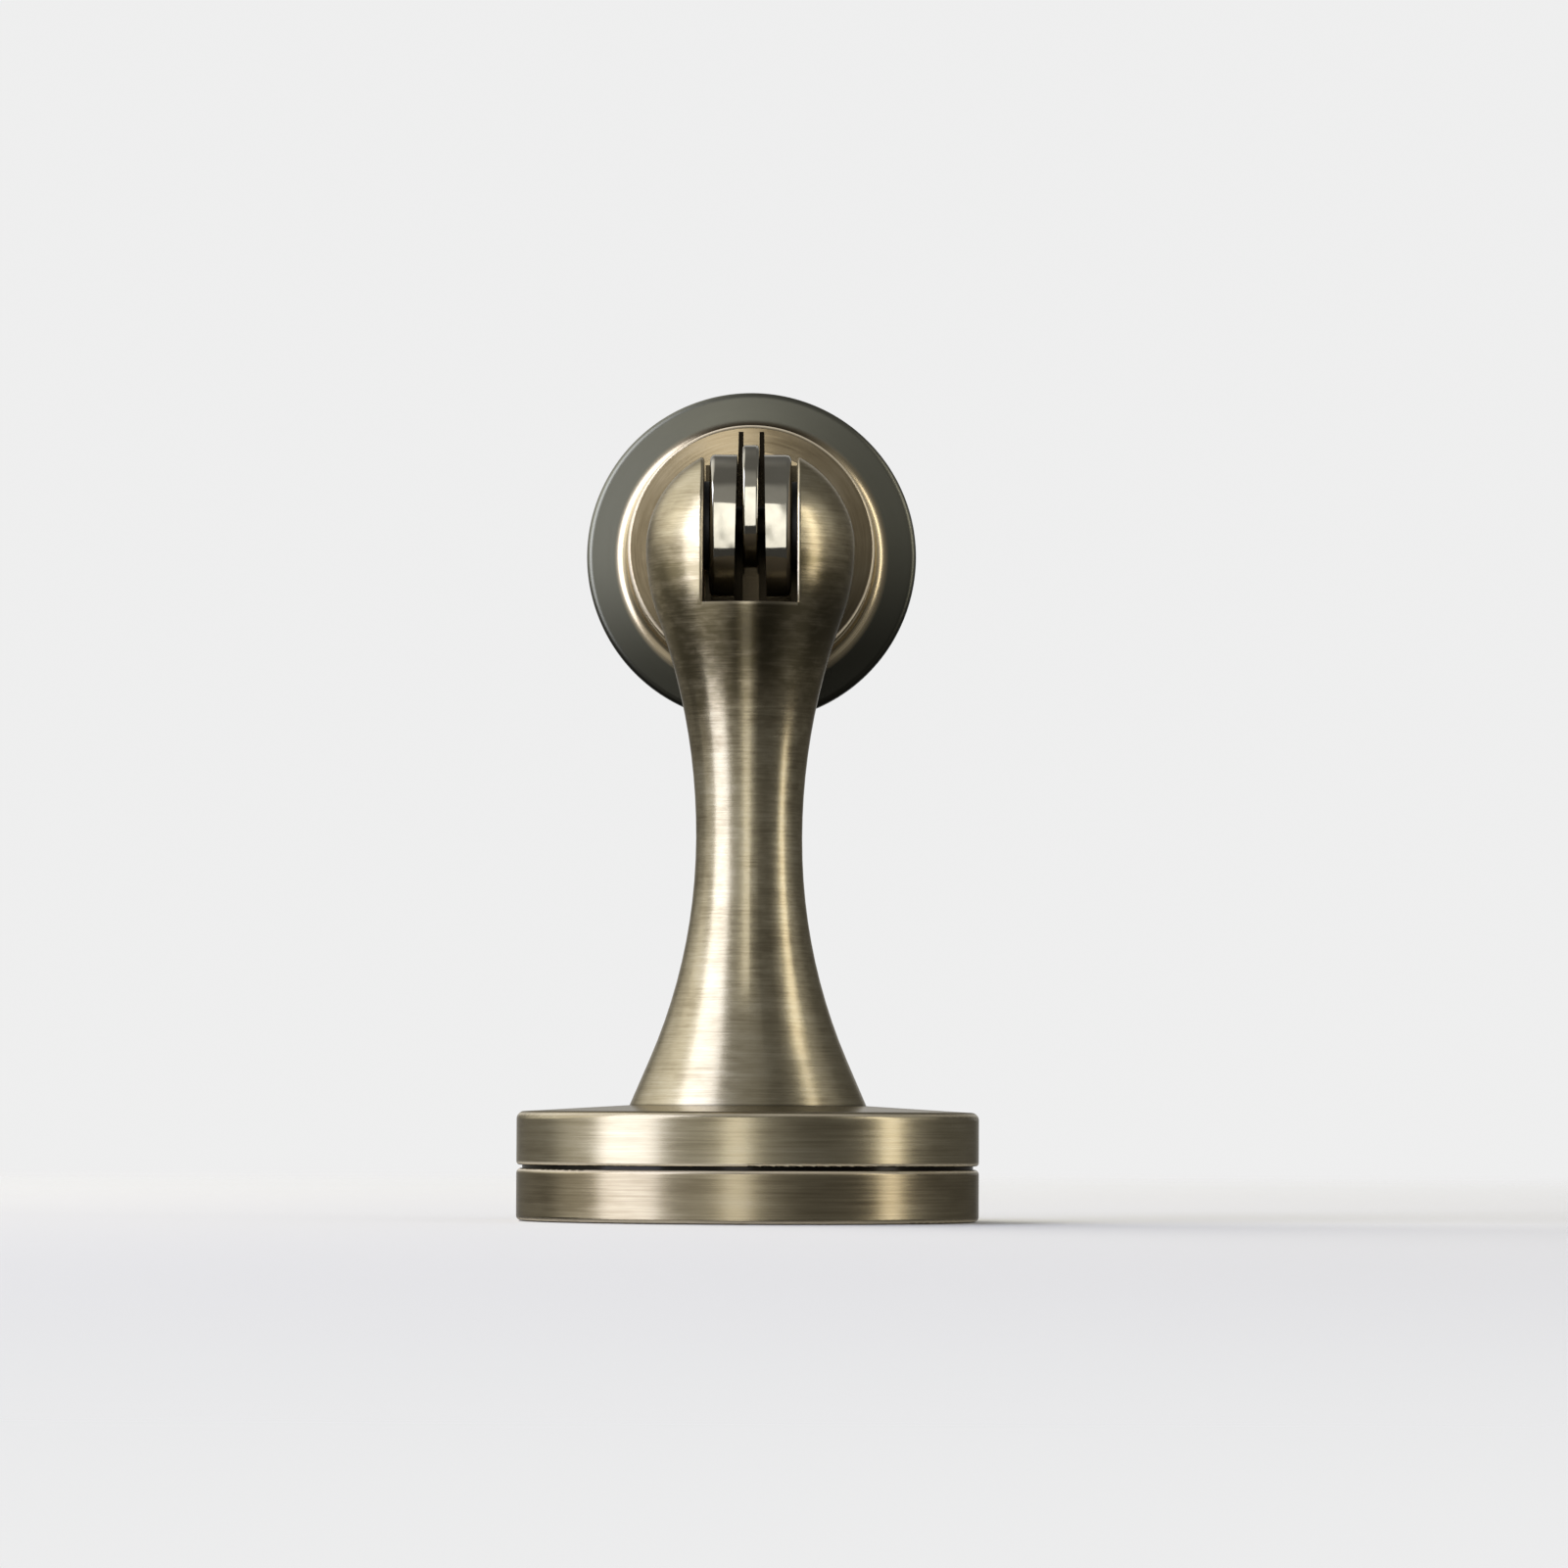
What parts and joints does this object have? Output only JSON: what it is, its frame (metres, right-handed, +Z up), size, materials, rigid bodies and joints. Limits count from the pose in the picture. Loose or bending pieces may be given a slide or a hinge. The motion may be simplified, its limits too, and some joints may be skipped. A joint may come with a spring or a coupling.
{
  "type": "magnetic door catch",
  "caption": "Antique brass magnetic door catch: round foot, flared stem with a slotted bulb, magnet holder that swivels in it, and a round sprung strike for the door.",
  "frame": {"origin": "centre of the underside of the foot, on the stem's axis", "axes": "+Z up the stem, +Y towards the door, +X to the right seen from the side away from the door"},
  "size_m": [0.048, 0.0495, 0.0887],
  "materials": {
    "antique_brass": "brushed, patinated and lacquered",
    "steel_pin": "ground",
    "black_steel": "black oxide",
    "zinc_steel": "zinc plated",
    "nickel_plate": "nickel plated",
    "black_nylon": "moulded",
    "black_rubber": "matt"
  },
  "bodies": {
    "stand": {"base_plate": "antique_brass", "column": "antique_brass", "foot_grub_screw": "black_steel", "pivot_pin": "steel_pin", "friction_washer_left": "black_nylon", "friction_washer_right": "black_nylon"},
    "head": {"magnet_holder": "antique_brass", "pole_cup": "nickel_plate", "magnet": "nickel_plate", "bumper_ring": "black_rubber"},
    "door_strike": {"door_rose": "antique_brass", "fixing_plate": "zinc_steel", "strike_spring": "steel_pin"},
    "keeper": {"strike_disc": "nickel_plate", "strike_stud": "zinc_steel", "strike_clip": "black_steel"}
  },
  "joints": [
    {"name": "head_swivel", "type": "hinge", "parent": "stand", "child": "head", "pos_m": [0, 0, 0.07235], "axis": [1, 0, 0], "range_deg": [0, 180]},
    {"name": "door_pull", "type": "slide", "parent": "head", "child": "door_strike", "axis": [0, 1, 0], "range_m": [0, 0.05]},
    {"name": "keeper_press", "type": "slide", "parent": "door_strike", "child": "keeper", "axis": [0, 1, 0], "range_m": [0, 0.001], "stiffness_N_per_m": 300, "springref_m": -0.001, "deforming": ["strike_spring"]}
  ]
}
